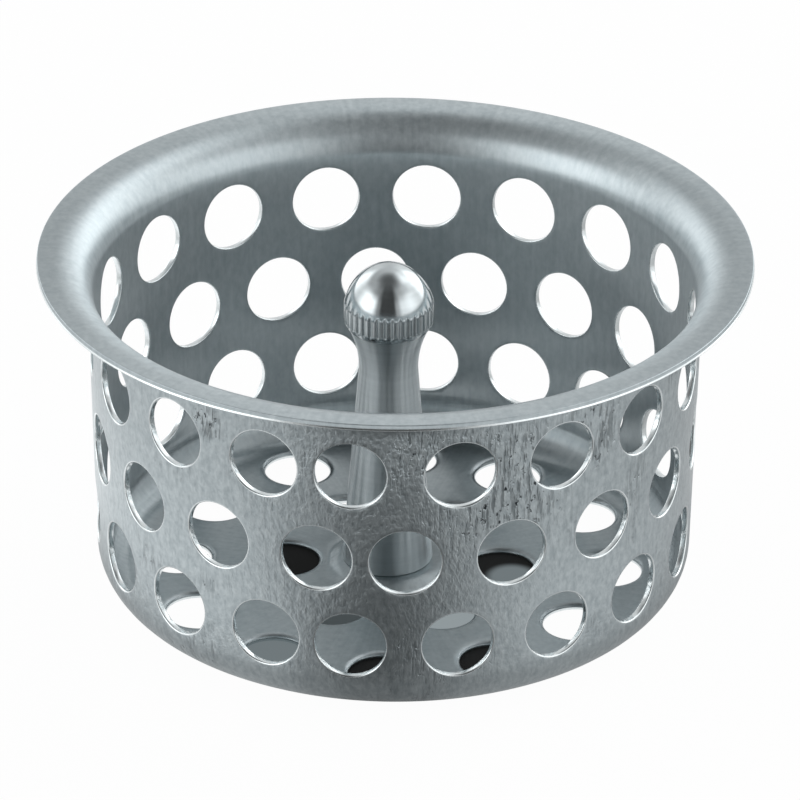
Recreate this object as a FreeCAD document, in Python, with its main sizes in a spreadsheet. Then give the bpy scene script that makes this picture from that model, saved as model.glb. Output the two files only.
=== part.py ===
import FreeCAD, Part
import Sketcher
import math
import os

# Drop-in sink strainer: a drawn, perforated cup with a rolled rim, and a turned
# lifting post riveted through the raised centre of its floor.
# Millimetres and degrees. The cup stands on the XY plane, its axis is +Z, and -Y is the front.

doc = FreeCAD.newDocument("sink_strainer")
sheet = doc.addObject("Spreadsheet::Sheet", "Sizes")
used_rows = []


def size(alias, value):
    used_rows.append(alias)
    row = len(used_rows)
    sheet.set("A%d" % row, alias)
    sheet.set("B%d" % row, str(value))
    sheet.setAlias("B%d" % row, alias)
    return value


# The cup, drawn from thin sheet
sheet_thickness = size("sheet_thickness", 0.4)
cup_height = size("cup_height", 22.25)
wall_diameter = size("wall_diameter", 38.1)        # outside, just under the rim's roll
wall_draft = size("wall_draft", 1.3)               # each side, narrower at the floor
rim_roll_radius = size("rim_roll_radius", 2.4)     # of the upper surface
rim_flat_width = size("rim_flat_width", 1.15)
floor_corner_radius = size("floor_corner_radius", 2.8)
centre_lift = size("centre_lift", 0.5)             # raised pad that hides the post's rivet head
pad_margin = size("pad_margin", 0.9)               # flat of the pad beyond the rivet head
pad_slope_width = size("pad_slope_width", 0.9)

# Holes in the wall: each row is indexed by one step, and the last gap closes what is left
wall_hole_diameter = size("wall_hole_diameter", 4.38)
low_row_height = size("low_row_height", 5.08)
top_row_drop = size("top_row_drop", 5.31)          # rim's top down to the top row's centres
hole_step_angle = size("hole_step_angle", 20.2)
holes_per_row = size("holes_per_row", 18)
outer_rows_start = size("outer_rows_start", -7.9)
middle_row_start = size("middle_row_start", 2.3)

# Holes in the floor: two rings
floor_hole_diameter = size("floor_hole_diameter", 4.2)
outer_ring_web = size("outer_ring_web", 0.08)      # flat left between the holes and the corner
outer_ring_holes = size("outer_ring_holes", 12)
outer_ring_start = size("outer_ring_start", -2.65)
inner_ring_inset = size("inner_ring_inset", 2.6)   # foot of the pad to the ring's centres
inner_ring_holes = size("inner_ring_holes", 6)
inner_ring_start = size("inner_ring_start", 26.3)

# The post, turned from bar
post_height = size("post_height", 21.45)           # top of the head over the standing plane
head_diameter = size("head_diameter", 5.6)
knurl_height = size("knurl_height", 1.75)
knurl_rise = size("knurl_rise", 0.4)               # of the knurl over the head's widest height
knurl_depth = size("knurl_depth", 0.16)
knurl_flutes = size("knurl_flutes", 36)
head_chamfer_width = size("head_chamfer_width", 0.25)
head_chamfer_height = size("head_chamfer_height", 0.4)
neck_length = size("neck_length", 2.9)
waist_diameter = size("waist_diameter", 3.7)
foot_diameter = size("foot_diameter", 5.7)
tail_diameter = size("tail_diameter", 3.0)
tail_clearance = size("tail_clearance", 0.05)      # radial, in the floor's centre hole
rivet_head_diameter = size("rivet_head_diameter", 4.8)
rivet_head_height = size("rivet_head_height", 0.38)
post_offset = size("post_offset", 0.38)            # riveted this far to the left of the cup's axis
doc.recompute()

full_turn = 360
half_turn = 180
right_angle = 90


def origin_plane(body, role):
    for feature in body.Origin.OriginFeatures:
        if feature.Role == role:
            return feature
    raise RuntimeError("no origin feature " + role)


class Profile:
    # A sketch on one of its body's origin planes, whose sizes are bound to the sheet.
    # Places are an edge and one of its points; "root" is the sketch's zero point.
    points = {"start": (1,), "end": (2,), "centre": (3,), "root": (-1, 1), "level": (-1,), "upright": (-2,)}

    def __init__(self, body, name, role):
        self.sketch = body.newObject("Sketcher::SketchObject", name)
        self.sketch.AttachmentSupport = (origin_plane(body, role), [""])
        self.sketch.MapMode = "FlatFace"

    def line(self, start, end):
        edge = Part.LineSegment(FreeCAD.Vector(*start), FreeCAD.Vector(*end))
        return self.sketch.addGeometry(edge, False)

    def arc(self, centre, radius, first_angle, last_angle):
        circle = Part.Circle(FreeCAD.Vector(*centre), FreeCAD.Vector(0, 0, 1), radius)
        edge = Part.ArcOfCircle(circle, math.radians(first_angle), math.radians(last_angle))
        return self.sketch.addGeometry(edge, False)

    def circle(self, centre, radius):
        edge = Part.Circle(FreeCAD.Vector(*centre), FreeCAD.Vector(0, 0, 1), radius)
        return self.sketch.addGeometry(edge, False)

    def tie(self, kind, *places):
        numbers = []
        for place in places:
            numbers.extend(self.points.get(place, (place,)))
        return self.sketch.addConstraint(Sketcher.Constraint(kind, *numbers))

    def bind(self, name, expression, kind, *places):
        index = self.tie(kind, *places)
        self.sketch.renameConstraint(index, name)
        self.sketch.setExpression("Constraints." + name, expression)

    def turn(self, axis, expression):
        self.sketch.AttachmentOffset = FreeCAD.Placement(
            FreeCAD.Vector(), FreeCAD.Rotation(FreeCAD.Vector(*axis), 1))
        self.sketch.setExpression("AttachmentOffset.Rotation.Angle", expression)


def new_body(name):
    body = doc.addObject("PartDesign::Body", name)
    body.Label = name
    return body


def revolve(body, profile, name):
    turned = body.newObject("PartDesign::Revolution", name)
    turned.Profile = profile.sketch
    turned.ReferenceAxis = (profile.sketch, ["V_Axis"])
    turned.Angle = full_turn
    body.Tip = turned
    doc.recompute()
    return turned


def cut_hole(body, profile, name, length=None):
    # A cut from the profile towards its front, through everything or to a length.
    before = body.Shape.Volume
    cut = body.newObject("PartDesign::Pocket", name)
    cut.Profile = profile.sketch
    cut.Reversed = True
    if length is None:
        cut.Type = "ThroughAll"
    else:
        cut.setExpression("Length", length)
    body.Tip = cut
    doc.recompute()
    if body.Shape.Volume >= before:
        raise RuntimeError(name + " cuts nothing")
    return cut


def cut_pattern(body, profile, name, count, spread, length=None):
    # One cut, then its copies round the axis.
    cut = cut_hole(body, profile, name, length)
    pattern = body.newObject("PartDesign::PolarPattern", name + "_pattern")
    pattern.Originals = [cut]
    pattern.Axis = (origin_plane(body, "Z_Axis"), [""])
    pattern.setExpression("Angle", spread)
    pattern.setExpression("Occurrences", count)
    body.Tip = pattern
    doc.recompute()


def strainer_cup():
    body = new_body("strainer_cup")
    profile = Profile(body, "cup_profile", "XZ_Plane")

    # Starting coordinates, worked out so that the solver begins at its answer
    slope = math.radians(wall_draft)
    under_radius = rim_roll_radius - sheet_thickness
    inside_radius = floor_corner_radius - sheet_thickness
    pad_radius = rivet_head_diameter / 2 + pad_margin
    pad_foot = pad_radius + pad_slope_width
    roll_x = wall_diameter / 2 + under_radius * math.cos(slope)
    roll_z = cup_height - rim_roll_radius
    wall_top = (wall_diameter / 2, roll_z + under_radius * math.sin(slope))
    wall_low_z = floor_corner_radius * (1 - math.sin(slope))
    wall_low_x = wall_top[0] - (wall_top[1] - wall_low_z) * math.tan(slope)
    corner_x = wall_low_x - floor_corner_radius * math.cos(slope)
    across = (sheet_thickness * math.cos(slope), -sheet_thickness * math.sin(slope))
    rim_x = roll_x + rim_flat_width
    rim_low = cup_height - sheet_thickness
    pad_top = centre_lift + sheet_thickness

    pad_under = profile.line((0, centre_lift), (pad_radius, centre_lift))
    slope_under = profile.line((pad_radius, centre_lift), (pad_foot, 0))
    floor_under = profile.line((pad_foot, 0), (corner_x, 0))
    corner_out = profile.arc((corner_x, floor_corner_radius), floor_corner_radius, -right_angle, -wall_draft)
    wall_out = profile.line((wall_low_x, wall_low_z), wall_top)
    roll_under = profile.arc((roll_x, roll_z), under_radius, right_angle, half_turn - wall_draft)
    rim_under = profile.line((roll_x, rim_low), (rim_x, rim_low))
    rim_edge = profile.line((rim_x, rim_low), (rim_x, cup_height))
    rim_top = profile.line((rim_x, cup_height), (roll_x, cup_height))
    roll_top = profile.arc((roll_x, roll_z), rim_roll_radius, right_angle, half_turn - wall_draft)
    wall_in = profile.line((wall_top[0] - across[0], wall_top[1] - across[1]),
                           (wall_low_x - across[0], wall_low_z - across[1]))
    corner_in = profile.arc((corner_x, floor_corner_radius), inside_radius, -right_angle, -wall_draft)
    floor_top = profile.line((corner_x, sheet_thickness), (pad_foot, sheet_thickness))
    slope_top = profile.line((pad_foot, sheet_thickness), (pad_radius, pad_top))
    pad_face = profile.line((pad_radius, pad_top), (0, pad_top))
    axis = profile.line((0, pad_top), (0, centre_lift))

    for first, second in ((pad_under, slope_under), (slope_under, floor_under),
                          (rim_under, rim_edge), (rim_edge, rim_top),
                          (floor_top, slope_top), (slope_top, pad_face),
                          (pad_face, axis), (axis, pad_under)):
        profile.tie("Coincident", first, "end", second, "start")
    profile.tie("Tangent", floor_under, "end", corner_out, "start")
    profile.tie("Tangent", corner_out, "end", wall_out, "start")
    profile.tie("Tangent", wall_out, "end", roll_under, "end")
    profile.tie("Tangent", roll_under, "start", rim_under, "start")
    profile.tie("Tangent", rim_top, "end", roll_top, "start")
    profile.tie("Tangent", roll_top, "end", wall_in, "start")
    profile.tie("Tangent", wall_in, "end", corner_in, "end")
    profile.tie("Tangent", corner_in, "start", floor_top, "start")
    profile.tie("Coincident", roll_under, "centre", roll_top, "centre")
    profile.tie("Coincident", corner_out, "centre", corner_in, "centre")
    for level in (pad_under, floor_under, rim_under, rim_top, floor_top, pad_face):
        profile.tie("Horizontal", level)
    profile.tie("Vertical", rim_edge)
    for place in ("start", "end"):
        profile.tie("PointOnObject", axis, place, "upright")
    profile.tie("Vertical", slope_under, "end", slope_top, "start")
    profile.tie("Vertical", slope_under, "start", slope_top, "end")

    profile.tie("PointOnObject", floor_under, "start", "level")
    profile.bind("rise", "Sizes.centre_lift", "DistanceY", "root", pad_under, "start", centre_lift)
    profile.bind("pad", "Sizes.rivet_head_diameter / 2 + Sizes.pad_margin",
                 "DistanceX", "root", pad_under, "end", pad_radius)
    profile.bind("pad_run", "Sizes.pad_slope_width",
                 "DistanceX", slope_under, "start", slope_under, "end", pad_slope_width)
    profile.bind("floor_gauge", "Sizes.sheet_thickness",
                 "DistanceY", floor_under, "start", floor_top, "end", sheet_thickness)
    profile.bind("pad_gauge", "Sizes.sheet_thickness",
                 "DistanceY", axis, "end", axis, "start", sheet_thickness)
    profile.bind("rim_gauge", "Sizes.sheet_thickness",
                 "DistanceY", rim_edge, "start", rim_edge, "end", sheet_thickness)
    profile.bind("height", "Sizes.cup_height", "DistanceY", "root", rim_edge, "end", cup_height)
    profile.bind("flat", "Sizes.rim_flat_width",
                 "DistanceX", rim_top, "end", rim_top, "start", rim_flat_width)
    profile.bind("roll", "Sizes.rim_roll_radius", "Radius", roll_top, rim_roll_radius)
    profile.bind("corner", "Sizes.floor_corner_radius", "Radius", corner_out, floor_corner_radius)
    profile.bind("wall", "Sizes.wall_diameter / 2",
                 "DistanceX", "root", wall_out, "end", wall_diameter / 2)
    profile.bind("draft", "90 deg - Sizes.wall_draft * 1 deg",
                 "Angle", wall_out, math.radians(right_angle - wall_draft))
    revolve(body, profile, "drawn_cup")

    # The hole for the post's tail, through the raised pad
    pad_top_height = "Sizes.centre_lift + Sizes.sheet_thickness"
    tail_radius = tail_diameter / 2 + tail_clearance
    tail = Profile(body, "tail_hole_sketch", "XY_Plane")
    punch = tail.circle((-post_offset, 0), tail_radius)
    tail.tie("PointOnObject", punch, "centre", "level")
    tail.bind("offset", "Sizes.post_offset", "DistanceX", punch, "centre", "root", post_offset)
    tail.bind("punch", "Sizes.tail_diameter / 2 + Sizes.tail_clearance", "Radius", punch, tail_radius)
    cut_hole(body, tail, "tail_hole", pad_top_height)

    # The wall's rows: the outer two share one start, the middle one is staggered between them
    row_spread = "Sizes.hole_step_angle * (Sizes.holes_per_row - 1)"
    low = "Sizes.low_row_height"
    top = "Sizes.cup_height - Sizes.top_row_drop"
    middle = "(Sizes.low_row_height + Sizes.cup_height - Sizes.top_row_drop) / 2"
    for name, start_angle, heights in (
            ("outer_rows", "Sizes.outer_rows_start", (low, top)),
            ("middle_row", "Sizes.middle_row_start", (middle,))):
        row = Profile(body, name + "_sketch", "XZ_Plane")
        row.turn((0, 1, 0), start_angle)
        for level, height in enumerate(heights):
            punch = row.circle((0, low_row_height + level * wall_hole_diameter), wall_hole_diameter / 2)
            row.tie("PointOnObject", punch, "centre", "upright")
            row.bind("height_%d" % level, height,
                     "DistanceY", "root", punch, "centre", low_row_height)
            row.bind("punch_%d" % level, "Sizes.wall_hole_diameter",
                     "Diameter", punch, wall_hole_diameter)
        cut_pattern(body, row, name, "Sizes.holes_per_row", row_spread)

    # The floor's rings: the outer one follows the wall, the inner one the raised pad
    outer = ("Sizes.wall_diameter / 2 - Sizes.cup_height * tan(Sizes.wall_draft * 1 deg)"
             " - Sizes.floor_corner_radius - Sizes.floor_hole_diameter / 2 - Sizes.outer_ring_web")
    inner = ("Sizes.rivet_head_diameter / 2 + Sizes.pad_margin + Sizes.pad_slope_width"
             " + Sizes.inner_ring_inset")
    for name, radius in (("outer_ring", outer), ("inner_ring", inner)):
        ring = Profile(body, name + "_sketch", "XY_Plane")
        ring.turn((0, 0, 1), "Sizes.%s_start" % name)
        punch = ring.circle((0, -wall_diameter / 4), floor_hole_diameter / 2)
        ring.tie("PointOnObject", punch, "centre", "upright")
        ring.bind("radius", radius, "DistanceY", punch, "centre", "root", wall_diameter / 4)
        ring.bind("punch", "Sizes.floor_hole_diameter", "Diameter", punch, floor_hole_diameter)
        cut_pattern(body, ring, name, "Sizes.%s_holes" % name, str(full_turn), pad_top_height)
    return body


def lift_post():
    body = new_body("lift_post")
    body.setExpression("Placement.Base.x", "-Sizes.post_offset")
    profile = Profile(body, "post_profile", "XZ_Plane")
    head_radius = head_diameter / 2
    head_z = post_height - head_radius
    band_low = head_z + knurl_rise - knurl_height
    band_low_x = head_radius - head_chamfer_width
    waist_z = band_low - neck_length
    waist_x = waist_diameter / 2
    seat_z = centre_lift + sheet_thickness
    tail_x = tail_diameter / 2
    foot_x = foot_diameter / 2
    rivet_x = rivet_head_diameter / 2
    dome_radius = (rivet_x ** 2 + rivet_head_height ** 2) / (2 * rivet_head_height)
    dome_angle = math.degrees(math.asin(rivet_x / dome_radius))
    neck_radius = ((band_low_x - waist_x) ** 2 + neck_length ** 2) / (2 * (band_low_x - waist_x))
    neck_angle = math.degrees(math.asin(neck_length / neck_radius))

    rivet = profile.arc((0, centre_lift - rivet_head_height + dome_radius), dome_radius,
                        -right_angle, -right_angle + dome_angle)
    rivet_seat = profile.line((rivet_x, centre_lift), (tail_x, centre_lift))
    tail = profile.line((tail_x, centre_lift), (tail_x, seat_z))
    foot = profile.line((tail_x, seat_z), (foot_x, seat_z))
    shank = profile.line((foot_x, seat_z), (waist_x, waist_z))
    neck = profile.arc((waist_x + neck_radius, waist_z), neck_radius, half_turn - neck_angle, half_turn)
    chamfer = profile.line((band_low_x, band_low), (head_radius, band_low + head_chamfer_height))
    band = profile.line((head_radius, band_low + head_chamfer_height), (head_radius, head_z))
    dome = profile.arc((0, head_z), head_radius, 0, right_angle)
    axis = profile.line((0, post_height), (0, centre_lift - rivet_head_height))

    for first, second in ((rivet, rivet_seat), (rivet_seat, tail), (tail, foot), (foot, shank),
                          (chamfer, band), (dome, axis), (axis, rivet)):
        profile.tie("Coincident", first, "end", second, "start")
    profile.tie("Tangent", shank, "end", neck, "end")
    profile.tie("Coincident", neck, "start", chamfer, "start")
    profile.tie("Tangent", band, "end", dome, "start")
    for level in (rivet_seat, foot):
        profile.tie("Horizontal", level)
    for upright in (tail, band):
        profile.tie("Vertical", upright)
    for place in ((rivet, "centre"), (rivet, "start"), (dome, "centre"), (dome, "end")):
        profile.tie("PointOnObject", *place, "upright")

    band_low_height = ("Sizes.post_height - Sizes.head_diameter / 2"
                       " + Sizes.knurl_rise - Sizes.knurl_height")
    profile.bind("rivet_seat", "Sizes.centre_lift",
                 "DistanceY", "root", rivet_seat, "start", centre_lift)
    profile.bind("rivet_width", "Sizes.rivet_head_diameter / 2",
                 "DistanceX", "root", rivet_seat, "start", rivet_x)
    profile.bind("rivet_height", "Sizes.rivet_head_height",
                 "DistanceY", rivet, "start", rivet, "end", rivet_head_height)
    profile.bind("tail_width", "Sizes.tail_diameter / 2", "DistanceX", "root", tail, "start", tail_x)
    profile.bind("grip", "Sizes.sheet_thickness", "DistanceY", tail, "start", tail, "end", sheet_thickness)
    profile.bind("foot_width", "Sizes.foot_diameter / 2", "DistanceX", "root", foot, "end", foot_x)
    profile.bind("waist_width", "Sizes.waist_diameter / 2",
                 "DistanceX", "root", shank, "end", waist_x)
    profile.bind("neck_rise", "Sizes.neck_length", "DistanceY", shank, "end", chamfer, "start", neck_length)
    profile.bind("band_base", band_low_height, "DistanceY", "root", chamfer, "start", band_low)
    profile.bind("chamfer_run", "Sizes.head_chamfer_width",
                 "DistanceX", chamfer, "start", chamfer, "end", head_chamfer_width)
    profile.bind("chamfer_rise", "Sizes.head_chamfer_height",
                 "DistanceY", chamfer, "start", chamfer, "end", head_chamfer_height)
    profile.bind("head_width", "Sizes.head_diameter / 2", "Radius", dome, head_radius)
    profile.bind("top", "Sizes.post_height", "DistanceY", "root", dome, "end", post_height)
    revolve(body, profile, "turned_post")

    # Straight knurl: right-angled grooves that run out on the chamfer below
    groove = Profile(body, "knurl_sketch", "XY_Plane")
    groove.sketch.setExpression("AttachmentOffset.Base.z", band_low_height)
    root_y = -head_radius + knurl_depth
    mouth_y = -head_radius - knurl_depth
    half_mouth = 2 * knurl_depth
    left = groove.line((0, root_y), (-half_mouth, mouth_y))
    mouth = groove.line((-half_mouth, mouth_y), (half_mouth, mouth_y))
    right = groove.line((half_mouth, mouth_y), (0, root_y))
    for first, second in ((left, mouth), (mouth, right), (right, left)):
        groove.tie("Coincident", first, "end", second, "start")
    groove.tie("PointOnObject", left, "start", "upright")
    groove.tie("Horizontal", mouth)
    groove.tie("Perpendicular", left, right)
    groove.tie("Equal", left, right)
    groove.bind("root", "Sizes.head_diameter / 2 - Sizes.knurl_depth",
                "DistanceY", left, "start", "root", -root_y)
    groove.bind("depth", "2 * Sizes.knurl_depth", "DistanceY", left, "end", left, "start", half_mouth)
    cut_pattern(body, groove, "knurl", "Sizes.knurl_flutes", str(full_turn), "Sizes.knurl_height")
    return body


pieces = [strainer_cup(), lift_post()]
doc.recompute()

for item in doc.Objects:
    if "Invalid" in item.State or "Error" in item.State:
        raise RuntimeError(item.Name + " failed: " + ", ".join(item.State))
for piece in pieces:
    if piece.Shape.isNull() or not piece.Shape.isValid() or len(piece.Shape.Solids) != 1:
        raise RuntimeError(piece.Label + " is not one sound solid")
shared = pieces[0].Shape.common(pieces[1].Shape).Volume
print("overlap of cup and post, cubic mm:", round(shared, 6))

os.makedirs("parts", exist_ok=True)
for piece in pieces:
    piece.Shape.exportStep("parts/%s.step" % piece.Label)
    box = piece.Shape.BoundBox
    print(piece.Label, "volume %.2f" % piece.Shape.Volume,
          "x %.3f z %.3f to %.3f" % (box.XLength, box.ZMin, box.ZMax))
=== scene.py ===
import bpy
import bmesh
import math
from mathutils import Matrix, Vector
from mathutils.geometry import delaunay_2d_cdt


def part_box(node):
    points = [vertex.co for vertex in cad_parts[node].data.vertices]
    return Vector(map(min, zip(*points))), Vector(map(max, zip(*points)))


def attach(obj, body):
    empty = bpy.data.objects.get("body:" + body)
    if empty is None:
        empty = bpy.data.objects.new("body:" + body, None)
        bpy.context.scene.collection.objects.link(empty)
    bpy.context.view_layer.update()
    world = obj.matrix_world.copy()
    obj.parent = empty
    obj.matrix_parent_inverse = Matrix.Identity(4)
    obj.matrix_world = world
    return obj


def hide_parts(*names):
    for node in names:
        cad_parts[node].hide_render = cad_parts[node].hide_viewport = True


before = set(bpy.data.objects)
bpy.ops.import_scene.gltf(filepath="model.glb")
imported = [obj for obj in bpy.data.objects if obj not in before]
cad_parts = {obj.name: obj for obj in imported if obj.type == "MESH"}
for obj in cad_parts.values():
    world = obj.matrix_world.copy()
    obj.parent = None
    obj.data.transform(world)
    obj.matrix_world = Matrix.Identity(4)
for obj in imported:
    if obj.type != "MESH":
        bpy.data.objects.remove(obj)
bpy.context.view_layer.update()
mm = 0.001
cupLow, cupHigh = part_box("strainer_cup")
postLow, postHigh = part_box("lift_post")
postX = (postLow.x + postHigh.x) / 2
print("frame loaded, nodes:", sorted(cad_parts))


# helpers

def hexToLinear(hexCode):
    channels = [int(hexCode[i:i + 2], 16) / 255 for i in (1, 3, 5)]
    linear = [c / 12.92 if c <= 0.04045 else ((c + 0.055) / 1.055) ** 2.4 for c in channels]
    return (*linear, 1.0)


def addNode(tree, kind, links=None, **settings):
    # links: input name -> (node, output name); settings starting in_ fill an input, the rest are properties
    node = tree.nodes.new(kind)
    for name, value in settings.items():
        if name.startswith("in_"):
            key = name[3:]
            node.inputs[int(key) if key.isdigit() else key.replace("_", " ")].default_value = value
        else:
            setattr(node, name, value)
    for name, (source, output) in (links or {}).items():
        tree.links.new(source.outputs[output], node.inputs[name])
    return node


def newMaterial(name):
    material = bpy.data.materials.new(name)
    material.use_nodes = True
    tree = material.node_tree
    return material, tree, tree.nodes["Principled BSDF"]


def addObject(name, mesh):
    obj = bpy.data.objects.new(name, mesh)
    bpy.context.scene.collection.objects.link(obj)
    return obj


def arcPoints(centre, radius, firstDeg, lastDeg, steps):
    points = []
    for i in range(steps + 1):
        angle = math.radians(firstDeg + (lastDeg - firstDeg) * i / steps)
        points.append((centre[0] + radius * math.cos(angle), centre[1] + radius * math.sin(angle)))
    return points


def perMetre(*sizes):
    return tuple(1 / (size * mm) for size in sizes)   # pattern scale from a real size in millimetres


def between(levels, unit=1.0):
    return {"in_1": levels[0] * unit, "in_2": levels[1] * unit}   # the range that a Map Range node reads


def around(radius, angle, height):
    # angle 0 faces the front, -Y, and grows towards +X
    return Vector((radius * math.sin(angle), -radius * math.cos(angle), height))


# materials

def dragAlong(tree, shader, amount, turn):
    # bare metal whose fine marks smear reflections: turn is 0 for upright marks and 0.25 for lathe rings
    tangent = addNode(tree, "ShaderNodeTangent", direction_type="RADIAL", axis="Z")
    tree.links.new(tangent.outputs["Tangent"], shader.inputs["Tangent"])
    shader.inputs["Anisotropic"].default_value = amount
    shader.inputs["Anisotropic Rotation"].default_value = turn
    shader.inputs["Metallic"].default_value = 1.0


# sizes in millimetres: grain, streaks and scratches as width, length; relief is the depth of the texture.
# galls are where the die dragged at the sheet: degrees from the front, height, reach
outerSkin = {"light": "#bfc8cb", "dark": "#a3adb1", "pit": "#363c3f",
             "grain": (0.17, 0.22), "streak": (0.13, 0.75), "scratch": (0.11, 1.2), "lean": 24,
             "pits": (0.16, 0.28), "pitFrom": 0.61, "dragLines": 0.48, "cloud": 5.0,
             "galls": ((20, 15.6, 6.2), (38, 17.8, 3.6), (-36, 18.6, 1.7), (5, 18.8, 2.6)),
             "roughness": (0.28, 0.37), "lowShine": 1.0, "paintedLowShade": 1.0, "drag": 0.0, "relief": 0.12,
             "shoulderLean": 0.0}
innerSkin = {"light": "#b9c2c5", "dark": "#a6b0b4", "pit": "#98a2a6",
             "grain": (0.20, 0.35), "streak": (0.22, 7.0), "scratch": (0.15, 5.0), "lean": 4,
             "pits": (0.3, 0.3), "pitFrom": 0.72, "dragLines": 0.0, "cloud": 9.0,
             "galls": (),
             "roughness": (0.33, 0.39), "lowShine": 0.86, "paintedLowShade": 0.78, "drag": 0.7, "relief": 0.004,
             "shoulderLean": 0.125}
# what both skins share: levels of noise between which a mark comes in, and heights in millimetres
skins = {"wornLevels": (0.57, 0.8), "gallCore": 0.3, "scratchShare": 0.45, "lineShare": 0.45,
         "toneLevels": (0.36, 0.64), "pitFade": 0.1, "dragLevels": (0.5, 0.38), "roughLevels": (0.3, 0.7),
         "shineHeights": (8.0, 19.0), "paintedShadeHeights": (4.0, 14.0), "shoulder": (17.2, 19.9, 21.2),
         "bumpStrength": 0.8}
noiseScale = 0.5                                 # a noise has about two marks to each of its cells


def drawnStainless(name, look):
    # drawn 18/8 stainless: a cool grey satin shine. Outside, the die leaves an orange-peel grain, upright
    # draw marks, leaning scratches and a few dark pits; inside, the punch leaves the sheet smooth
    material, tree, shader = newMaterial(name)
    place = addNode(tree, "ShaderNodeTexCoord")
    parts = addNode(tree, "ShaderNodeSeparateXYZ", {"Vector": (place, "Object")})
    # alongSheet leaves out the distance from the axis, so marks run up the wall and on out over the rim
    flat = addNode(tree, "ShaderNodeVectorMath", {0: (place, "Object")}, operation="MULTIPLY",
                   in_1=(1, 1, 0))
    flat = addNode(tree, "ShaderNodeVectorMath", {0: (flat, "Vector")}, operation="NORMALIZE")
    upright = addNode(tree, "ShaderNodeVectorMath", {0: (place, "Object")}, operation="MULTIPLY",
                      in_1=(0, 0, 1))
    alongSheet = addNode(tree, "ShaderNodeVectorMath", {0: (flat, "Vector"), 2: (upright, "Vector")},
                         operation="MULTIPLY_ADD", in_1=[cup["wallRadius"]] * 3)
    layers = {}
    for layer, lean in (("grain", 0), ("streak", 0), ("scratch", look["lean"]), ("pits", 0)):
        width, length = look[layer]
        source = (alongSheet, "Vector") if layer in ("streak", "scratch") else (place, "Object")
        turned = addNode(tree, "ShaderNodeMapping", {"Vector": source},
                         in_Rotation=(0, math.radians(lean), 0))
        scaled = addNode(tree, "ShaderNodeMapping", {"Vector": (turned, "Vector")},
                         in_Scale=perMetre(width, width, length))
        layers[layer] = addNode(tree, "ShaderNodeTexNoise", {"Vector": (scaled, "Vector")},
                                in_Scale=noiseScale, in_Detail=2.0, in_Roughness=0.6)

    # where the sheet is worn: loose clouds, and the galls
    clouds = addNode(tree, "ShaderNodeTexNoise", {"Vector": (place, "Object")},
                     in_Scale=perMetre(look["cloud"])[0], in_Detail=2.0)
    worn = addNode(tree, "ShaderNodeMapRange", {"Value": (clouds, "Fac")}, **between(skins["wornLevels"]))
    for degrees, height, reach in look["galls"]:
        spot = around(cup["wallRadius"], math.radians(degrees), height * mm)
        away = addNode(tree, "ShaderNodeVectorMath", {0: (place, "Object")}, operation="DISTANCE",
                       in_1=spot)
        near = addNode(tree, "ShaderNodeMapRange", {"Value": (away, "Value")},
                       interpolation_type="SMOOTHSTEP", in_3=1.0, in_4=0.0,
                       **between((skins["gallCore"] * reach, reach), mm))
        worn = addNode(tree, "ShaderNodeMath", {0: (worn, worn.outputs[0].name), 1: (near, "Result")},
                       operation="MAXIMUM")

    # colour: grain and lines between two greys, dark pits and drag lines where it is worn
    lines = addNode(tree, "ShaderNodeMix", {"A": (layers["streak"], "Fac"), "B": (layers["scratch"], "Fac")},
                    in_Factor=skins["scratchShare"])
    surface = addNode(tree, "ShaderNodeMix", {"A": (layers["grain"], "Fac"), "B": (lines, "Result")},
                      in_Factor=skins["lineShare"])
    spread = addNode(tree, "ShaderNodeMapRange", {"Value": (surface, "Result")},
                     **between(skins["toneLevels"]))
    tone = addNode(tree, "ShaderNodeMix", {"Factor": (spread, "Result")}, data_type="RGBA",
                   in_6=hexToLinear(look["dark"]), in_7=hexToLinear(look["light"]))
    pits = addNode(tree, "ShaderNodeMapRange", {"Value": (layers["pits"], "Fac")},
                   **between((look["pitFrom"], look["pitFrom"] + skins["pitFade"])))
    dragged = addNode(tree, "ShaderNodeMapRange", {"Value": (layers["streak"], "Fac")},
                      in_4=look["dragLines"], **between(skins["dragLevels"]))
    pits = addNode(tree, "ShaderNodeMath", {0: (pits, "Result"), 1: (dragged, "Result")},
                   operation="MAXIMUM")
    pits = addNode(tree, "ShaderNodeMath", {0: (pits, "Value"), 1: (worn, worn.outputs[0].name)},
                   operation="MULTIPLY")
    colour = addNode(tree, "ShaderNodeMix", {"Factor": (pits, "Value"), "A": (tone, "Result")},
                     data_type="RGBA", in_7=hexToLinear(look["pit"]))

    # the rim was stretched over the die and is duller than the floor and low wall; the colour darkens deeper
    # in the cup as painted shade
    rough = addNode(tree, "ShaderNodeMapRange", {"Value": (surface, "Result")}, in_3=look["roughness"][0],
                    in_4=look["roughness"][1], **between(skins["roughLevels"]))
    stretched = addNode(tree, "ShaderNodeMapRange", {"Value": (parts, "Z")}, in_3=look["lowShine"],
                        in_4=1.0, **between(skins["shineHeights"], mm))
    rough = addNode(tree, "ShaderNodeMath", {0: (rough, "Result"), 1: (stretched, "Result")},
                    operation="MULTIPLY")
    # painted shade: the colour darkens towards the floor of the cup
    paintedDeepShade = addNode(tree, "ShaderNodeMapRange", {"Value": (parts, "Z")}, in_3=look["paintedLowShade"], in_4=1.0,
                   **between(skins["paintedShadeHeights"], mm))
    colour = addNode(tree, "ShaderNodeMix", {"A": (colour, "Result"), "B": (paintedDeepShade, "Result")},
                     data_type="RGBA", blend_type="MULTIPLY", in_Factor=1.0)

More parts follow.
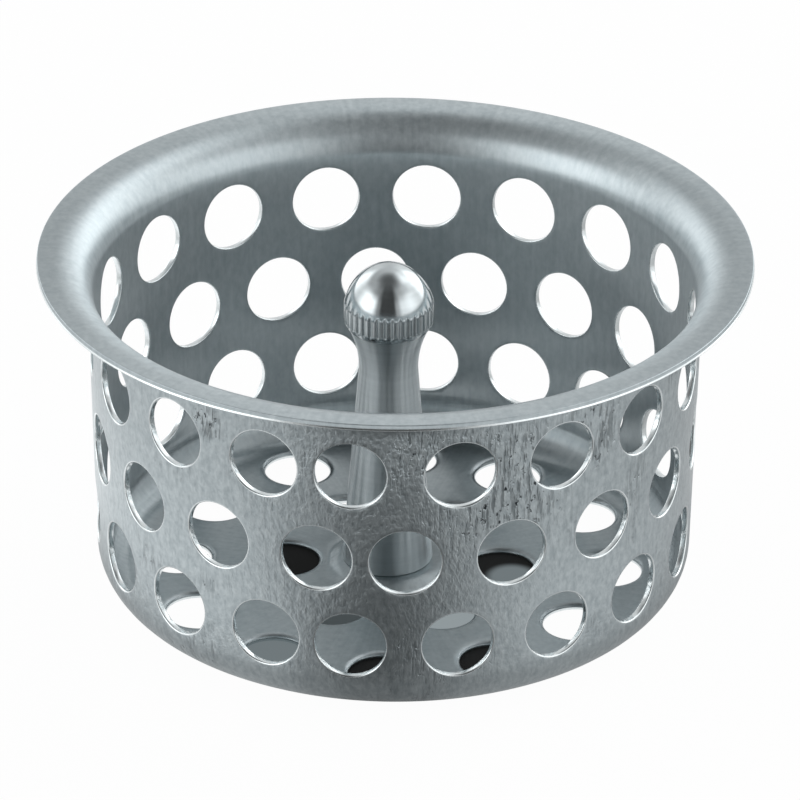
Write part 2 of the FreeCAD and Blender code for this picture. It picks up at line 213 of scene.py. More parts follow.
    # the punch eased the wall into the roll: round the shoulder the sheet faces a little further up
    start, peak, end = skins["shoulder"]
    growing = addNode(tree, "ShaderNodeMapRange", {"Value": (parts, "Z")}, interpolation_type="SMOOTHSTEP",
                      in_4=look["shoulderLean"], **between((start, peak), mm))
    fading = addNode(tree, "ShaderNodeMapRange", {"Value": (parts, "Z")}, interpolation_type="SMOOTHSTEP",
                     in_3=1.0, in_4=0.0, **between((peak, end), mm))
    lean = addNode(tree, "ShaderNodeMath", {0: (growing, "Result"), 1: (fading, "Result")},
                   operation="MULTIPLY")
    upward = addNode(tree, "ShaderNodeCombineXYZ", {"Z": (lean, "Value")})
    facing = addNode(tree, "ShaderNodeNewGeometry")
    facing = addNode(tree, "ShaderNodeVectorMath", {0: (facing, "Normal"), 1: (upward, "Vector")},
                     operation="ADD")
    facing = addNode(tree, "ShaderNodeVectorMath", {0: (facing, "Vector")}, operation="NORMALIZE")
    height = addNode(tree, "ShaderNodeMath", {0: (surface, "Result"), 1: (pits, "Value")},
                     operation="SUBTRACT")
    bump = addNode(tree, "ShaderNodeBump", {"Height": (height, "Value"), "Normal": (facing, "Vector")},
                   in_Strength=skins["bumpStrength"], in_Distance=look["relief"] * mm)
    tree.links.new(colour.outputs["Result"], shader.inputs["Base Color"])
    tree.links.new(rough.outputs["Value"], shader.inputs["Roughness"])
    tree.links.new(bump.outputs["Normal"], shader.inputs["Normal"])
    dragAlong(tree, shader, look["drag"], 0.0)
    return material


def shearedStainless():
    # the punched wall of each hole, burnished by the tool and smoother than the faces; its paler colour is
    # part burnish, part painted highlight
    # the pale tones are partly a painted highlight on the edges
    look = {"light": "#e9eeef", "dark": "#cdd5d7", "tearWidth": 0.12, "roughness": 0.2}
    material, tree, shader = newMaterial("stainlessShearedEdge")
    place = addNode(tree, "ShaderNodeTexCoord")
    tears = addNode(tree, "ShaderNodeTexNoise", {"Vector": (place, "Object")},
                    in_Scale=perMetre(look["tearWidth"])[0] * noiseScale, in_Detail=2.0)
    tone = addNode(tree, "ShaderNodeMix", {"Factor": (tears, "Fac")}, data_type="RGBA",
                   in_6=hexToLinear(look["dark"]), in_7=hexToLinear(look["light"]))
    tree.links.new(tone.outputs["Result"], shader.inputs["Base Color"])
    shader.inputs["Roughness"].default_value = look["roughness"]
    shader.inputs["Metallic"].default_value = 1.0
    return material


def polishedStainless():
    # turned 18/8 stainless: a tumbled, near mirror head over a duller knurl and shank with faint lathe
    # rings; sizes and heights in millimetres, shank and head are the roughness of each
    look = {"light": "#cad1d3", "dark": "#b4bcbf", "ringSpacing": 0.14, "ringLength": 6.0,
            "ringDepth": 0.01, "ringStrength": 0.12, "shank": 0.34, "head": 0.12, "crown": (17.2, 17.5),
            "drag": 0.95, "turn": 0.25}
    material, tree, shader = newMaterial("stainlessTurnedPolished")
    place = addNode(tree, "ShaderNodeTexCoord")
    rings = addNode(tree, "ShaderNodeMapping", {"Vector": (place, "Object")},
                    in_Scale=perMetre(look["ringLength"], look["ringLength"], look["ringSpacing"]))
    rings = addNode(tree, "ShaderNodeTexNoise", {"Vector": (rings, "Vector")}, in_Scale=noiseScale,
                    in_Detail=3.0)
    tone = addNode(tree, "ShaderNodeMix", {"Factor": (rings, "Fac")}, data_type="RGBA",
                   in_6=hexToLinear(look["dark"]), in_7=hexToLinear(look["light"]))
    parts = addNode(tree, "ShaderNodeSeparateXYZ", {"Vector": (place, "Object")})
    rough = addNode(tree, "ShaderNodeMapRange", {"Value": (parts, "Z")}, in_3=look["shank"],
                    in_4=look["head"], **between(look["crown"], mm))
    bump = addNode(tree, "ShaderNodeBump", {"Height": (rings, "Fac")}, in_Strength=look["ringStrength"],
                   in_Distance=look["ringDepth"] * mm)
    tree.links.new(tone.outputs["Result"], shader.inputs["Base Color"])
    tree.links.new(rough.outputs["Result"], shader.inputs["Roughness"])
    tree.links.new(bump.outputs["Normal"], shader.inputs["Normal"])
    dragAlong(tree, shader, look["drag"], look["turn"])
    return material


# the drawn cup

# rows: height and degrees of the first hole; rings: radius, count and degrees of the first hole.
# from columns on it is the mesh: how fine it is, and the room that loose points leave round what is cut
cup = {"sheet": 0.4 * mm, "wallRadius": 19.05 * mm, "draft": 1.3, "rollRadius": 2.65 * mm,
       "cornerRadius": 2.8 * mm, "padLift": 0.5 * mm, "padRadius": 3.3 * mm, "padFoot": 4.2 * mm,
       "tailHole": 1.55 * mm, "holeRadius": 2.19 * mm, "holeStep": 20.2, "holesPerRow": 18,
       "rows": ((16.94 * mm, -7.9), (11.01 * mm, 2.3), (5.08 * mm, -7.9)),
       "floorHoleRadius": 2.1 * mm, "rings": ((13.615 * mm, 12, -2.65), (6.8 * mm, 6, 26.3)),
       "punchRound": 0.10 * mm, "burrRound": 0.05 * mm, "floorLip": 0.45 * mm, "lipDrop": 0.24 * mm,
       "edgeCorner": 0.06 * mm, "flare": 0.05 * mm, "flareFrom": 0.26 * mm, "shadeWeight": 70,
       "columns": 256, "holeSides": 48, "pitch": 0.48 * mm, "rowShare": 0.87, "holeRing": 0.24 * mm,
       "edgeRoom": 0.12 * mm, "wallRoom": 0.5 * mm, "floorRoom": 0.43 * mm, "tailRoom": 0.2 * mm,
       "lipRoom": 0.02 * mm}
outside, sheared, inside = range(3)              # the cup's material numbers


def cupProfile():
    # radius and height of the under (outer) and upper (inner) skins, between the floor and the rim
    slope = math.radians(cup["draft"])
    roll, corner, sheet = cup["rollRadius"], cup["cornerRadius"], cup["sheet"]
    rim = min(cupHigh.x, cupHigh.y, -cupLow.x, -cupLow.y)
    height = cupHigh.z
    rollX = cup["wallRadius"] + (roll - sheet) * math.cos(slope)
    rollZ = height - roll
    wallTop = (cup["wallRadius"], rollZ + (roll - sheet) * math.sin(slope))
    wallLowZ = corner * (1 - math.sin(slope))
    wallLowX = wallTop[0] - (wallTop[1] - wallLowZ) * math.tan(slope)
    cornerX = wallLowX - corner * math.cos(slope)
    profile = {}
    for name, inset in (("out", 0.0), ("in", sheet)):
        profile[name] = {
            "corner": arcPoints((cornerX, corner), corner - inset, -90, -cup["draft"], 12),
            "roll": arcPoints((rollX, rollZ), roll - sheet + inset, 180 - cup["draft"], 90, 16),
            "low": (wallLowX - inset * math.cos(slope), wallLowZ + inset * math.sin(slope)),
            "top": (wallTop[0] - inset * math.cos(slope), wallTop[1] + inset * math.sin(slope))}
    # the trimmed edge drops upright from a small corner, then flares out, burnished and with a painted
    # highlight, to a sharp lip
    tight, lip, flare = cup["edgeCorner"], cup["burrRound"], cup["flare"]
    edgeX, flareZ, lipZ = rim - flare, height - cup["flareFrom"], height - sheet + lip
    flat = [(rollX + (edgeX - tight - rollX) * i / 4, height) for i in range(1, 5)]
    flat += arcPoints((edgeX - tight, height - tight), tight, 90, 0, 5)[1:]
    flat += [(edgeX, flareZ)]
    edge = [(edgeX + flare * share, flareZ + (lipZ - flareZ) * share) for share in (0.12, 0.5, 0.88)]
    edge += arcPoints((rim - lip, lipZ), lip, 0, -90, 3)
    under = [(rollX + (rim - lip - rollX) * i / 4, height - sheet) for i in range(3, 0, -1)]
    profile["flat"], profile["edge"], profile["under"] = flat, edge, under
    profile["floorEdge"] = cornerX
    return profile


def skinRadius(skin, height):
    (lowX, lowZ), (topX, topZ) = skin["low"], skin["top"]
    return lowX + (topX - lowX) * (height - lowZ) / (topZ - lowZ)


def wallHoles():
    holes = []
    for height, start in cup["rows"]:
        for k in range(cup["holesPerRow"]):
            holes.append((math.radians(start + k * cup["holeStep"]), height))
    return holes


def floorHoles():
    holes = []
    for radius, count, start in cup["rings"]:
        for k in range(count):
            angle = math.radians(start + 360 * k / count)
            holes.append((radius * math.sin(angle), -radius * math.cos(angle)))
    return holes


def fillSheet(points, loops, dropped):
    # triangles of a flat sheet through all points, kept out of the loops in dropped
    edges = []
    owner = {}
    for number, loop in enumerate(loops):
        for i, vertex in enumerate(loop):
            edges.append((vertex, loop[(i + 1) % len(loop)]))
            owner[vertex] = number
    sameSpot = 1e-9
    _, _, faces, kept, _, _ = delaunay_2d_cdt([Vector(p) for p in points], edges, [], 0, sameSpot)
    source = [group[0] for group in kept]
    triangles = []
    for face in faces:
        ids = [source[v] for v in face]
        owners = {owner.get(v, -1) for v in ids}
        if len(owners) == 1 and owners.pop() in dropped:
            continue
        triangles.append(ids)
    return triangles


def buildCup():
    profile = cupProfile()
    outSkin, inSkin = profile["out"], profile["in"]
    columns, sides = cup["columns"], cup["holeSides"]
    step = 2 * math.pi / columns
    mesh = bmesh.new()

    def ringOf(point):
        return [mesh.verts.new(around(point[0], i * step, point[1])) for i in range(columns)]

    def bridgeAll(rings, material):
        for first, second in zip(rings, rings[1:]):
            count = len(first)
            for i in range(count):
                j = (i + 1) % count
                mesh.faces.new((first[i], first[j], second[j], second[i])).material_index = material

    # wall: one layout of points, used by both skins
    radius = cup["wallRadius"]
    holes = wallHoles()
    lowZ, topZ = outSkin["low"][1], outSkin["top"][1]
    rows = round((topZ - lowZ) / (cup["pitch"] * cup["rowShare"]))
    marks = []                                   # (angle, share of height) or (hole, side, offset)
    loops = []
    loops.append(list(range(columns)))
    marks += [("wall", i * step, 0.0) for i in range(columns)]
    loops.append(list(range(columns, 2 * columns)))
    marks += [("wall", i * step, 1.0) for i in range(columns)]
    for number in range(len(holes)):
        loops.append(list(range(len(marks), len(marks) + sides)))
        marks += [("hole", number, i, 0.0) for i in range(sides)]
    margin, ringGap = cup["edgeRoom"], cup["holeRing"]
    for number, (holeAngle, holeZ) in enumerate(holes):
        for i in range(sides):
            reach = cup["holeRadius"] + cup["punchRound"] + ringGap
            height = holeZ + reach * math.sin(2 * math.pi * (i + 0.5) / sides)
            if lowZ + margin < height < topZ - margin:
                marks.append(("hole", number, i + 0.5, ringGap))
    keepOut = cup["holeRadius"] + cup["wallRoom"]
    for row in range(1, rows):
        height = lowZ + (topZ - lowZ) * row / rows
        for i in range(columns):
            angle = (i + 0.5 * (row % 2)) * step
            clear = True
            for holeAngle, holeZ in holes:
                if abs(height - holeZ) > keepOut:
                    continue
                turn = (angle - holeAngle + math.pi) % (2 * math.pi) - math.pi
                if math.hypot(turn * radius, height - holeZ) < keepOut:
                    clear = False
                    break
            if clear:
                marks.append(("wall", angle, row / rows))

    def onWall(mark, skin, rounding):
        if mark[0] == "wall":
            height = skin["low"][1] + (skin["top"][1] - skin["low"][1]) * mark[2]
            return around(skinRadius(skin, height), mark[1], height)
        holeAngle, holeZ = holes[mark[1]]
        reach = cup["holeRadius"] + rounding + mark[3]
        return punchPoint(holeAngle, holeZ, reach, mark[2], skin, 0.0)

    def punchPoint(holeAngle, holeZ, reach, side, skin, depth):
        turn = 2 * math.pi * side / sides
        sideways, height = reach * math.cos(turn), holeZ + reach * math.sin(turn)
        outward = math.sqrt(skinRadius(skin, height) ** 2 - sideways ** 2) + depth
        place = around(outward, holeAngle, height)
        return place + Vector((math.cos(holeAngle), math.sin(holeAngle), 0)) * sideways

    flatPoints = []
    for mark in marks:
        place = onWall(mark, outSkin, cup["punchRound"])
        angle = math.atan2(place.x, -place.y)
        spread = math.exp((place.z - lowZ) / radius)   # wraps the wall to a flat ring without distortion
        flatPoints.append((spread * math.cos(angle), spread * math.sin(angle)))
    dropped = set(range(len(loops))) - {1}
    triangles = fillSheet(flatPoints, loops, dropped)
    wallVerts = {}
    for name, skin, rounding, side in (("out", outSkin, cup["punchRound"], outside),
                                       ("in", inSkin, cup["burrRound"], inside)):
        wallVerts[name] = [mesh.verts.new(onWall(mark, skin, rounding)) for mark in marks]
        for triangle in triangles:
            mesh.faces.new([wallVerts[name][v] for v in triangle]).material_index = side

    # the punched edge of each hole: rolled over outside, sharper inside
    for number, (holeAngle, holeZ) in enumerate(holes):
        loop = loops[2 + number]
        rings = [[wallVerts["out"][v] for v in loop]]
        for skin, rounding, sign, angles in ((outSkin, cup["punchRound"], -1, (30, 60, 90)),
                                             (inSkin, cup["burrRound"], 1, (90, 60, 30))):
            for degrees in angles:
                turn = math.radians(degrees)
                reach = cup["holeRadius"] + rounding * (1 - math.sin(turn))
                depth = sign * rounding * (1 - math.cos(turn))
                rings.append([mesh.verts.new(punchPoint(holeAngle, holeZ, reach, i, skin, depth))
                              for i in range(sides)])
        rings.append([wallVerts["in"][v] for v in loop])
        bridgeAll(rings, sheared)

    # floor: flat sheet with its rings of holes and the raised pad round the post's tail
    punches = floorHoles()
    edgeRadius = profile["floorEdge"]

    def lipAt(number, side):
        # width of the lip that the punch drew down round a floor hole, less where the corner is near
        px, py = punches[number]
        turn = 2 * math.pi * side / sides
        along = px * math.cos(turn) + py * math.sin(turn)
        room = math.sqrt(along ** 2 - px ** 2 - py ** 2 + edgeRadius ** 2) - along
        return min(cup["floorLip"], room - cup["floorHoleRadius"] - cup["lipRoom"])

    marks = [("tail", cup["tailHole"], i * step) for i in range(columns)]
    loopsFloor = [list(range(columns)), list(range(columns, 2 * columns))]
    marks += [("disc", edgeRadius, i * step) for i in range(columns)]
    for number in range(len(punches)):
        loopsFloor.append(list(range(len(marks), len(marks) + sides)))
        marks += [("hole", number, i, 0.0) for i in range(sides)]
    for number, (px, py) in enumerate(punches):
        for i in range(sides):
            reach = cup["floorHoleRadius"] + lipAt(number, i + 0.5) + ringGap
            turn = 2 * math.pi * (i + 0.5) / sides
            if math.hypot(px + reach * math.cos(turn), py + reach * math.sin(turn)) < edgeRadius - margin:
                marks.append(("hole", number, i + 0.5, ringGap))
    keepOut = cup["floorHoleRadius"] + cup["floorLip"] + cup["floorRoom"]
    rows = round(edgeRadius / cup["pitch"])
    for row in range(1, rows):
        reach = edgeRadius * row / rows
        count = round(2 * math.pi * reach / cup["pitch"])
        for i in range(count):
            angle = 2 * math.pi * (i + 0.5 * (row % 2)) / count
            x, y = reach * math.sin(angle), -reach * math.cos(angle)
            clear = all(math.hypot(x - px, y - py) > keepOut for px, py in punches)
            if clear and math.hypot(x - postX, y) > cup["tailHole"] + cup["tailRoom"]:
                marks.append(("disc", reach, angle))

    def padHeight(reach):
        share = min(1.0, max(0.0, (cup["padFoot"] - reach) / (cup["padFoot"] - cup["padRadius"])))
        return cup["padLift"] * share * share * (3 - 2 * share)

    def holePoint(number, side, extra, height):
        px, py = punches[number]
        turn = 2 * math.pi * side / sides
        reach = cup["floorHoleRadius"] + extra
        return Vector((px + reach * math.cos(turn), py + reach * math.sin(turn), height))

    def onFloor(mark, base, topSide):
        if mark[0] == "disc":
            return around(mark[1], mark[2], base + padHeight(mark[1]))
        if mark[0] == "tail":
            return around(mark[1], mark[2], base + cup["padLift"]) + Vector((postX, 0, 0))
        number, side, gap = mark[1:]
        edge = lipAt(number, side) if topSide or gap else cup["burrRound"]
        return holePoint(number, side, edge + gap, base)

    flatPoints = [onFloor(mark, 0.0, True).xy for mark in marks]
    dropped = set(range(len(loopsFloor))) - {1}
    triangles = fillSheet([(p.x / mm, p.y / mm) for p in flatPoints], loopsFloor, dropped)
    floorVerts = {}
    for name, base, topSide, side in (("out", 0.0, False, outside), ("in", cup["sheet"], True, inside)):
        floorVerts[name] = [mesh.verts.new(onFloor(mark, base, topSide)) for mark in marks]
        for triangle in triangles:
            mesh.faces.new([floorVerts[name][v] for v in triangle]).material_index = side
    for number in range(len(punches)):
        loop = loopsFloor[2 + number]
        lip = [[floorVerts["in"][v] for v in loop]]
        for degrees in (18, 36, 54, 72, 90):
            turn = math.radians(degrees)
            height = cup["sheet"] - cup["lipDrop"] * (1 - math.cos(turn))
            widths = [lipAt(number, i) * (1 - math.sin(turn)) for i in range(sides)]
            lip.append([mesh.verts.new(holePoint(number, i, widths[i], height)) for i in range(sides)])
        bridgeAll(lip, inside)
        burr = [lip[-1]]
        for degrees in (90, 60, 30):
            turn = math.radians(degrees)
            extra = cup["burrRound"] * (1 - math.sin(turn))
            height = cup["burrRound"] * (1 - math.cos(turn))
            burr.append([mesh.verts.new(holePoint(number, i, extra, height)) for i in range(sides)])
        burr.append([floorVerts["out"][v] for v in loop])
        bridgeAll(burr, sheared)
    bridgeAll([[floorVerts[name][v] for v in loopsFloor[0]] for name in ("in", "out")], sheared)

    # corner, roll and rim: plain turned strips between the floor, the wall and the edge
    ends = {}
    for name, skin, side in (("out", outSkin, outside), ("in", inSkin, inside)):
        corner = [[floorVerts[name][v] for v in loopsFloor[1]]]
        corner += [ringOf(p) for p in skin["corner"][1:-1]]
        corner.append([wallVerts[name][v] for v in loops[0]])
        bridgeAll(corner, side)
        roll = [[wallVerts[name][v] for v in loops[1]]] + [ringOf(p) for p in skin["roll"][1:]]
        bridgeAll(roll, side)
        ends[name] = roll[-1]
    flat = [ends["in"]] + [ringOf(p) for p in profile["flat"]]
    edge = flat[-1:] + [ringOf(p) for p in profile["edge"]]
    under = edge[-1:] + [ringOf(p) for p in profile["under"]] + [ends["out"]]
    bridgeAll(flat, inside)
    bridgeAll(edge, sheared)
    bridgeAll(under, outside)

    bmesh.ops.recalc_face_normals(mesh, faces=mesh.faces)
    data = bpy.data.meshes.new("strainerCup")
    mesh.to_mesh(data)
    mesh.free()
    for face in data.polygons:
        face.use_smooth = True
    return addObject("strainerCup", data)


# the turned post

post = {"headRadius": 2.8 * mm, "top": 21.45 * mm, "knurlHeight": 1.75 * mm, "knurlRise": 0.4 * mm,
        "domeWidth": 2.91 * mm, "domeHeight": 3.5 * mm, "runOut": 0.1 * mm,
        "knurlDepth": 0.08 * mm, "grooveShare": 0.2, "flutes": 36, "perFlute": 8,
        "chamferWidth": 0.25 * mm, "chamferHeight": 0.4 * mm, "neckEdge": (0.03 * mm, 0.02 * mm),
        "neckLength": 2.9 * mm, "waistRadius": 1.85 * mm, "footRadius": 2.85 * mm, "footEdge": 0.05 * mm,
        "seat": 0.9 * mm, "tailRadius": 1.5 * mm, "rivetRadius": 2.4 * mm, "rivetHeight": 0.38 * mm,
        "sharpAngle": 35}
hair = 1e-3 * mm                                 # less than this counts as touching


def postProfile():
    headZ = post["top"] - post["headRadius"]
    bandLow = headZ + post["knurlRise"] - post["knurlHeight"]
    lipX = post["headRadius"] - post["chamferWidth"]
    waistZ = bandLow - post["neckLength"]
    rise = lipX - post["waistRadius"]
    bend = (rise ** 2 + post["neckLength"] ** 2) / (2 * rise)
    sweep = math.degrees(math.asin(post["neckLength"] / bend))
    under = cup["padLift"]
    domeR = (post["rivetRadius"] ** 2 + post["rivetHeight"] ** 2) / (2 * post["rivetHeight"])
    domeSweep = math.degrees(math.asin(post["rivetRadius"] / domeR))
    points = arcPoints((0.0, under - post["rivetHeight"] + domeR), domeR, -90, -90 + domeSweep, 10)
    points += [(post["tailRadius"], under), (post["tailRadius"], post["seat"])]
    foot, seat, edge = post["footRadius"], post["seat"], post["footEdge"]
    points += [(foot - edge, seat), (foot, seat + edge)]
    shank = 12
    for i in range(1, shank):
        share = i / shank
        points.append((foot + (post["waistRadius"] - foot) * share, seat + edge + (waistZ - seat) * share))
    points += arcPoints((post["waistRadius"] + bend, waistZ), bend, 180, 180 - sweep, 14)
    points += [(lipX + post["neckEdge"][0], bandLow + post["neckEdge"][1])]
    chamfer, band, dome = 4, 8, 30               # steps up the chamfer, the knurl and the dome
    for i in range(1, chamfer + 1):
        share = i / chamfer
        points.append((lipX + post["chamferWidth"] * share, bandLow + post["chamferHeight"] * share))
    bandTop = headZ + post["knurlRise"]
    land = bandTop - post["runOut"]
    bandFoot = bandLow + post["chamferHeight"]
    for i in range(1, band + 1):
        points.append((post["headRadius"], bandFoot + (land - bandFoot) * i / band))
    # a blunt dome, an upright half ellipse cut off where it meets the knurl
    domeZ = post["top"] - post["domeHeight"]
    domeFoot = math.asin((bandTop - domeZ) / post["domeHeight"])
    for i in range(dome + 1):
        angle = domeFoot + (math.pi / 2 - domeFoot) * i / dome
        points.append((post["domeWidth"] * math.cos(angle), domeZ + post["domeHeight"] * math.sin(angle)))
    return points, bandLow, bandTop


def buildPost():
    points, bandLow, bandTop = postProfile()
    columns = post["flutes"] * post["perFlute"]
    mesh = bmesh.new()
    rings = []
    for radius, height in points:
        if radius < hair:
            rings.append([mesh.verts.new((postX, 0, height))])
            continue
        ring = []
        for i in range(columns):
            angle = 2 * math.pi * i / columns
            reach = radius
            if bandLow - hair < height < bandTop:
                share = (i % post["perFlute"]) / post["perFlute"]
                groove = max(0.0, 1 - abs(share - 0.5) / post["grooveShare"])   # a V between wide lands
                root = post["headRadius"] - post["knurlDepth"] * groove
                reach = min(radius, root)
            ring.append(mesh.verts.new(around(reach, angle, height) + Vector((postX, 0, 0))))
        rings.append(ring)
    for first, second in zip(rings, rings[1:]):
        for i in range(columns):
            j = (i + 1) % columns
            if len(first) == 1:
                mesh.faces.new((first[0], second[i], second[j]))
            elif len(second) == 1:
                mesh.faces.new((first[i], first[j], second[0]))
            else:
                mesh.faces.new((first[i], first[j], second[j], second[i]))
    bmesh.ops.recalc_face_normals(mesh, faces=mesh.faces)
    data = bpy.data.meshes.new("liftPost")
    mesh.to_mesh(data)
    mesh.free()
    for face in data.polygons:
        face.use_smooth = True
    data.set_sharp_from_angle(angle=math.radians(post["sharpAngle"]))
    return addObject("liftPost", data)


cupObject = buildCup()
cupObject.data.materials.append(drawnStainless("stainlessDrawnGrained", outerSkin))
cupObject.data.materials.append(shearedStainless())
cupObject.data.materials.append(drawnStainless("stainlessDrawnSatin", innerSkin))
cupObject.modifiers.new("cleanShading", "WEIGHTED_NORMAL").weight = cup["shadeWeight"]
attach(cupObject, "root")
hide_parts("strainer_cup")
print("cup built:", len(cupObject.data.vertices), "vertices")

postObject = buildPost()
postObject.data.materials.append(polishedStainless())
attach(postObject, "root")
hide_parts("lift_post")
print("post built:", len(postObject.data.vertices), "vertices")


# stage, light and camera

stage = {"size": 2.4, "paper": "#eceeee", "fibre": "#f2f3f3", "fibreSize": 1.5, "roughness": 0.9,
         "lift": 0.97, "paintedShadeEdge": 0.4 * mm,
         # dark spots of painted shade under the cup, seen only through its floor holes
         "paintedShade": ((-6.7, 0.4, 2.7, "#020202"), (6.8, -0.4, 2.7, "#0a0b0b"), (7.5, -1.2, 1.5, "#6d7679"),
                 (-3.8, -5.7, 2.7, "#41484a"), (3.0, -6.1, 2.7, "#8f989b"), (-0.6, -13.6, 2.7, "#020202"),
                 (6.3, -12.1, 2.7, "#0a0b0b"), (6.9, -12.7, 1.4, "#5d6467"), (-7.4, -11.4, 2.7, "#6d7679")),
         # the graded sheet glows as a painted reflection, and is darkened near the cup's foot as painted
         # shadow
         "gradeReach": 70 * mm, "gradeCentre": 10 * mm, "gradeFrom": 0.87, "gradeLift": 0.05 * mm,
         "gradeSides": 96, "paintedShadeTone": 0.3,
         "paintedNearLevels": ((0, 0.45), (20, 0.45), (26, 1.3), (30, 1.3), (38, 1.0), (50, 0.88), (70, 0.88)),
         "paintedReflectionTones": ((-180, 0.90), (-135, 1.0), (-92, 0.87), (-63, 0.79), (-48, 0.66), (-33, 0.38), (-16, 0.17),
                   (0, 0.15), (16, 0.24), (33, 0.46), (48, 0.58), (63, 0.68), (124, 0.57), (180, 0.85))}


def paperFloor():
    # matt white sweep paper: no shine, and it keeps the object's soft shadow. Under the cup it has dark spots
    # of painted shade, so that some holes of the cup's floor show black or grey: place and radius in
    # millimetres, tone
    material, tree, shader = newMaterial("paperSweepMatt")
    place = addNode(tree, "ShaderNodeTexCoord")
    fibre = addNode(tree, "ShaderNodeTexNoise", {"Vector": (place, "Object")},
                    in_Scale=perMetre(stage["fibreSize"])[0], in_Detail=3.0)
    tone = addNode(tree, "ShaderNodeMix", {"Factor": (fibre, "Fac")}, data_type="RGBA",
                   in_6=hexToLinear(stage["paper"]), in_7=hexToLinear(stage["fibre"]))
    tree.links.new(tone.outputs["Result"], shader.inputs["Base Color"])
    shader.inputs["Roughness"].default_value = stage["roughness"]
    glow = addNode(tree, "ShaderNodeEmission", in_Strength=1.0)
    colour = None
    # each spot is painted shade, mixed over the white of the paper
    for x, y, radius, paintedShade in stage["paintedShade"]:
        away = addNode(tree, "ShaderNodeVectorMath", {0: (place, "Object")}, operation="DISTANCE",
                       in_1=(x * mm, y * mm, 0))
        edges = (radius * mm - stage["paintedShadeEdge"], radius * mm + stage["paintedShadeEdge"])
        clear = addNode(tree, "ShaderNodeMapRange", {"Value": (away, "Value")},
                        interpolation_type="SMOOTHSTEP", **between(edges))
        links = {"Factor": (clear, "Result")}
        if colour:
            links["B"] = (colour, "Result")
        colour = addNode(tree, "ShaderNodeMix", links, data_type="RGBA", in_6=hexToLinear(paintedShade),
                         in_7=(1, 1, 1, 1))
    tree.links.new(colour.outputs["Result"], glow.inputs["Color"])
    path = addNode(tree, "ShaderNodeLightPath")
    seen = addNode(tree, "ShaderNodeMath", {0: (path, "Is Camera Ray"), 1: (path, "Is Glossy Ray")},
                   operation="ADD")
    seen = addNode(tree, "ShaderNodeMath", {0: (seen, "Value"), 1: (path, "Is Transmission Ray")},
                   operation="ADD", use_clamp=True)
    share = addNode(tree, "ShaderNodeMath", {0: (seen, "Value")}, operation="MULTIPLY", in_1=stage["lift"])
    mix = addNode(tree, "ShaderNodeMixShader",
                  {0: (share, "Value"), 1: (shader, "BSDF"), 2: (glow, "Emission")})
    tree.links.new(mix.outputs["Shader"], tree.nodes["Material Output"].inputs["Surface"])
    return material


def levelRamp(tree, source, low, high, stops):
    # brightness that follows a value between low and high; stops are (value, brightness)
    brightest = 3.0                              # a ramp's colours end at 1
    share = addNode(tree, "ShaderNodeMapRange", {"Value": source}, in_1=low, in_2=high)
    ramp = addNode(tree, "ShaderNodeValToRGB", {"Fac": (share, "Result")})
    ramp.color_ramp.interpolation = "EASE"
    points = ramp.color_ramp.elements
    for i, (value, level) in enumerate(stops):
        point = points[i] if i < 2 else points.new(1.0)
        point.position = (value - low) / (high - low)
        point.color = (*[level / brightest] * 3, 1)
    return addNode(tree, "ShaderNodeMath", {0: (ramp, "Color")}, operation="MULTIPLY", in_1=brightest)


def facingAngle(tree, parts, forward):
    # degrees from the front, -Y, growing towards +X, round a point that lies forward of the axis
    ahead = addNode(tree, "ShaderNodeMath", {1: (parts, "Y")}, operation="SUBTRACT", in_0=-forward)
    angle = addNode(tree, "ShaderNodeMath", {0: (parts, "X"), 1: (ahead, "Value")}, operation="ARCTAN2")
    return addNode(tree, "ShaderNodeMath", {0: (angle, "Value")}, operation="DEGREES")


def paintedReflectionMaterial():
    # a glowing sheet whose tone is a painted reflection, set by the direction seen from the cup: degrees from
    # the front, brightness; the nearness levels do the same by millimetres from the axis, with painted shadow
    # where the cup shades it
    material, tree, shader = newMaterial("paintedReflectionGlow")
    place = addNode(tree, "ShaderNodeTexCoord")
    parts = addNode(tree, "ShaderNodeSeparateXYZ", {"Vector": (place, "Object")})
    angle = facingAngle(tree, parts, stage["gradeCentre"])
    tone = levelRamp(tree, (angle, "Value"), -180, 180, stage["paintedReflectionTones"])
    reach = addNode(tree, "ShaderNodeVectorMath", {0: (place, "Object")}, operation="LENGTH")
    reach = addNode(tree, "ShaderNodeMath", {0: (reach, "Value")}, operation="MULTIPLY", in_1=1 / mm)
    near = levelRamp(tree, (reach, "Value"), 0, stage["gradeReach"] / mm, stage["paintedNearLevels"])
    # painted shadow: the sheet's glow drops towards the cup's foot
    level = addNode(tree, "ShaderNodeMix", {"Factor": (near, "Value"), "B": (tone, "Value")},
                    clamp_factor=False, in_A=stage["paintedShadeTone"])
    glow = addNode(tree, "ShaderNodeEmission", {"Strength": (level, "Result")})
    tree.links.new(glow.outputs["Emission"], tree.nodes["Material Output"].inputs["Surface"])
    return material


def addStage(name, points, faces, material):
    data = bpy.data.meshes.new(name)
    data.from_pydata(points, [], faces)
    obj = addObject(name, data)
    obj.data.materials.append(material)
    return obj


def buildStage():
    half = stage["size"] / 2
    corners = [(-half, -half, 0), (half, -half, 0), (half, half, 0), (-half, half, 0)]
    addStage("sweep", corners, [(0, 1, 2, 3)], paperFloor())
    # a glowing graded sheet round the cup, which only reflections see: a painted reflection, dark in front,
    # palest on the left
    sides = stage["gradeSides"]
    ring = []
    for reach in (cup["wallRadius"] * stage["gradeFrom"], stage["gradeReach"]):
        ring += [around(reach, 2 * math.pi * i / sides, stage["gradeLift"]) for i in range(sides)]
    faces = [(i, (i + 1) % sides, sides + (i + 1) % sides, sides + i) for i in range(sides)]
    sheet = addStage("paintedReflectionSheet", ring, faces, paintedReflectionMaterial())
    sheet.visible_camera = False
    sheet.visible_diffuse = False
    sheet.visible_shadow = False


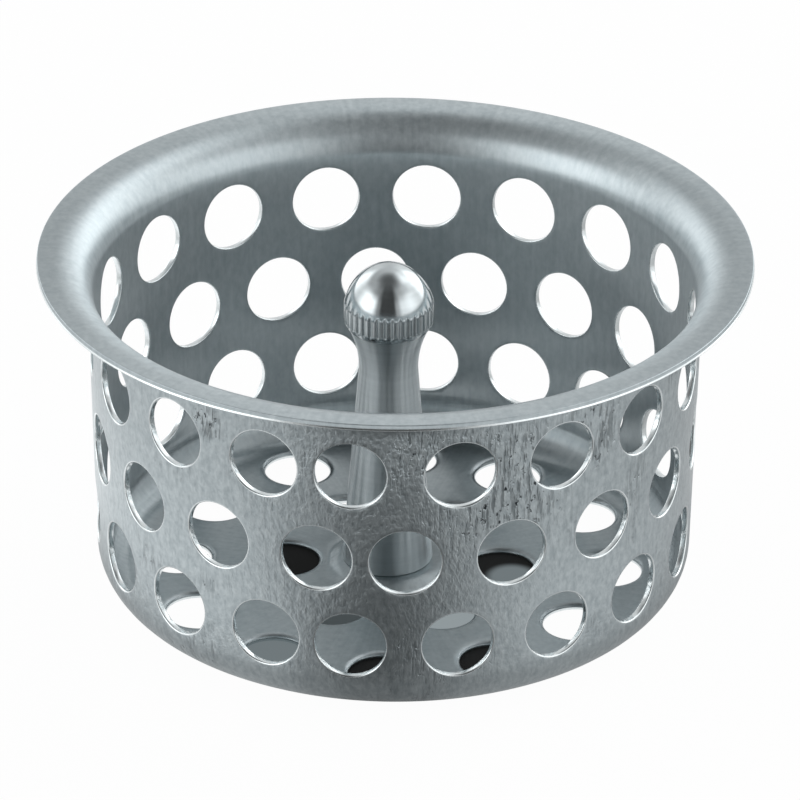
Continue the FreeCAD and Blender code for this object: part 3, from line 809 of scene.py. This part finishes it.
# the lit room as the cup sees it: degrees from the front and brightness, where 1 looks like plain white.
# low reaches from the floor to about 30 degrees up, high is about 50 degrees up; rise and crown are the
# sines between which one passes into the next
light = {"low": ((-180, 0.78), (-160, 0.95), (-138, 2.1), (-105, 1.1), (-66, 2.5), (-48, 2.0), (-30, 0.4),
                 (-20, 0.08), (14, 0.08), (24, 0.6), (40, 1.4), (66, 1.7), (98, 1.25), (118, 2.1), (140, 2.8),
                 (160, 1.1), (180, 0.78)),
         "high": ((-180, 0.78), (-150, 0.66), (-105, 0.55), (-83, 0.6), (-43, 0.35), (-22, 0.1), (14, 0.08),
                  (43, 0.6), (76, 0.85), (122, 1.85), (144, 1.4), (162, 0.85), (180, 0.78)),
         "overhead": 0.15, "rise": (0.5, 0.75), "crown": (0.82, 1.0)}


def buildLight():
    # pale cloth panels at both sides and behind, a dark slot in front where the camera stands, a dim ceiling
    world = bpy.data.worlds.new("studio")
    world.use_nodes = True
    bpy.context.scene.world = world
    tree = world.node_tree
    place = addNode(tree, "ShaderNodeTexCoord")
    parts = addNode(tree, "ShaderNodeSeparateXYZ", {"Vector": (place, "Generated")})
    angle = facingAngle(tree, parts, 0.0)
    low = levelRamp(tree, (angle, "Value"), -180, 180, light["low"])
    high = levelRamp(tree, (angle, "Value"), -180, 180, light["high"])
    rise = addNode(tree, "ShaderNodeMapRange", {"Value": (parts, "Z")}, interpolation_type="SMOOTHSTEP",
                   **between(light["rise"]))
    crown = addNode(tree, "ShaderNodeMapRange", {"Value": (parts, "Z")}, interpolation_type="SMOOTHSTEP",
                    **between(light["crown"]))
    level = addNode(tree, "ShaderNodeMix",
                    {"Factor": (rise, "Result"), "A": (low, "Value"), "B": (high, "Value")})
    level = addNode(tree, "ShaderNodeMix", {"Factor": (crown, "Result"), "A": (level, "Result")},
                    in_B=light["overhead"])
    tree.links.new(level.outputs["Result"], tree.nodes["Background"].inputs["Strength"])
    tree.nodes["Background"].inputs["Color"].default_value = (1, 1, 1, 1)


# elevation and roll in degrees, lens and sensor in the camera's own millimetres, clip in metres
view = {"target": (0.35 * mm, 0.0, 12.0 * mm), "elevation": 28.405, "distance": 432.3 * mm, "roll": 0.435,
        "lens": 311.3, "sensor": 36.0, "clip": (0.01, 10.0)}


def buildCamera():
    data = bpy.data.cameras.new("camera")
    data.sensor_width = view["sensor"]
    data.lens = view["lens"]
    data.clip_start, data.clip_end = view["clip"]
    camera = bpy.data.objects.new("camera", data)
    bpy.context.scene.collection.objects.link(camera)
    lift = math.radians(view["elevation"])
    away = Vector((0, -math.cos(lift), math.sin(lift)))
    turn = Matrix.Rotation(math.radians(90 - view["elevation"]), 4, "X")
    roll = Matrix.Rotation(math.radians(view["roll"]), 4, "Z")
    camera.matrix_world = Matrix.Translation(Vector(view["target"]) + away * view["distance"]) @ turn @ roll
    bpy.context.scene.camera = camera


buildStage()
buildLight()
buildCamera()
bpy.context.scene.view_settings.view_transform = "Standard"
print("stage, light and camera set")
